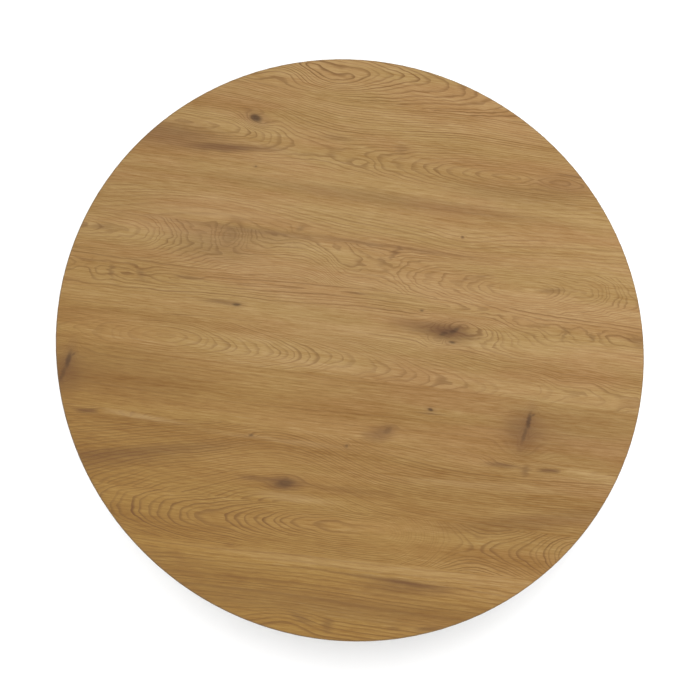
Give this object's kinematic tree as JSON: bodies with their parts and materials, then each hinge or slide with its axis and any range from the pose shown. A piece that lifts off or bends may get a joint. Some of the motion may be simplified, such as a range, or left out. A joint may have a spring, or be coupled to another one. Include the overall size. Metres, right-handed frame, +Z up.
{
  "type": "round pedestal table",
  "caption": "Round dining table: foil-wrapped oak-decor board with a bevelled rim on a single black steel column with a flared round base and screw-adjustable glides.",
  "frame": {"origin": "on the floor, on the column's axis", "axes": "+Z up along the column; +X along the grain of the top; +Y across the grain"},
  "size_m": [1.2, 1.2, 0.75],
  "materials": {
    "oak_decor": "matt printed oak foil",
    "board_core": "sanded fibreboard",
    "backing": "matt grey-beige film",
    "black_steel": "fine-texture matt powder coat",
    "bare_steel": "hot-rolled, oiled",
    "zinc": "bright zinc plate",
    "black_fastener": "black zinc",
    "black_plastic": "moulded, fine grain",
    "black_rubber": "matt",
    "foam": "cellular foam",
    "pad_plastic": "moulded"
  },
  "bodies": {
    "table": {"decor_foil": "oak_decor", "top_core": "board_core", "backing_sheet": "backing", "threaded_inserts": "zinc", "hub_plate": "black_steel", "arm_bolts": "black_fastener", "arm_washers": "zinc", "head_locator": "bare_steel", "column_tube": "black_steel", "tie_rod": "zinc", "tie_rod_washer": "zinc", "tie_rod_nut": "zinc", "foot_locator": "bare_steel", "rod_anchor": "bare_steel", "ballast_plate": "bare_steel", "base_cover": "black_steel", "column_collar": "black_steel", "neck_seal": "black_rubber", "cover_strip": "foam", "spider_arm_1": "black_steel", "arm_cap_1": "black_plastic", "spider_arm_2": "black_steel", "arm_cap_2": "black_plastic", "spider_arm_3": "black_steel", "arm_cap_3": "black_plastic", "spider_arm_4": "black_steel", "arm_cap_4": "black_plastic"},
    "glide_1": {"glide_stud_1": "zinc", "glide_pad_1": "pad_plastic"},
    "glide_2": {"glide_stud_2": "zinc", "glide_pad_2": "pad_plastic"},
    "glide_3": {"glide_stud_3": "zinc", "glide_pad_3": "pad_plastic"},
    "glide_4": {"glide_stud_4": "zinc", "glide_pad_4": "pad_plastic"}
  },
  "joints": [
    {"name": "glide_1_travel", "type": "slide", "parent": "table", "child": "glide_1", "axis": [0, 0, -1], "range_m": [0, 0.006]},
    {"name": "glide_2_travel", "type": "slide", "parent": "table", "child": "glide_2", "axis": [0, 0, -1], "range_m": [0, 0.006]},
    {"name": "glide_3_travel", "type": "slide", "parent": "table", "child": "glide_3", "axis": [0, 0, -1], "range_m": [0, 0.006]},
    {"name": "glide_4_travel", "type": "slide", "parent": "table", "child": "glide_4", "axis": [0, 0, -1], "range_m": [0, 0.006]}
  ]
}
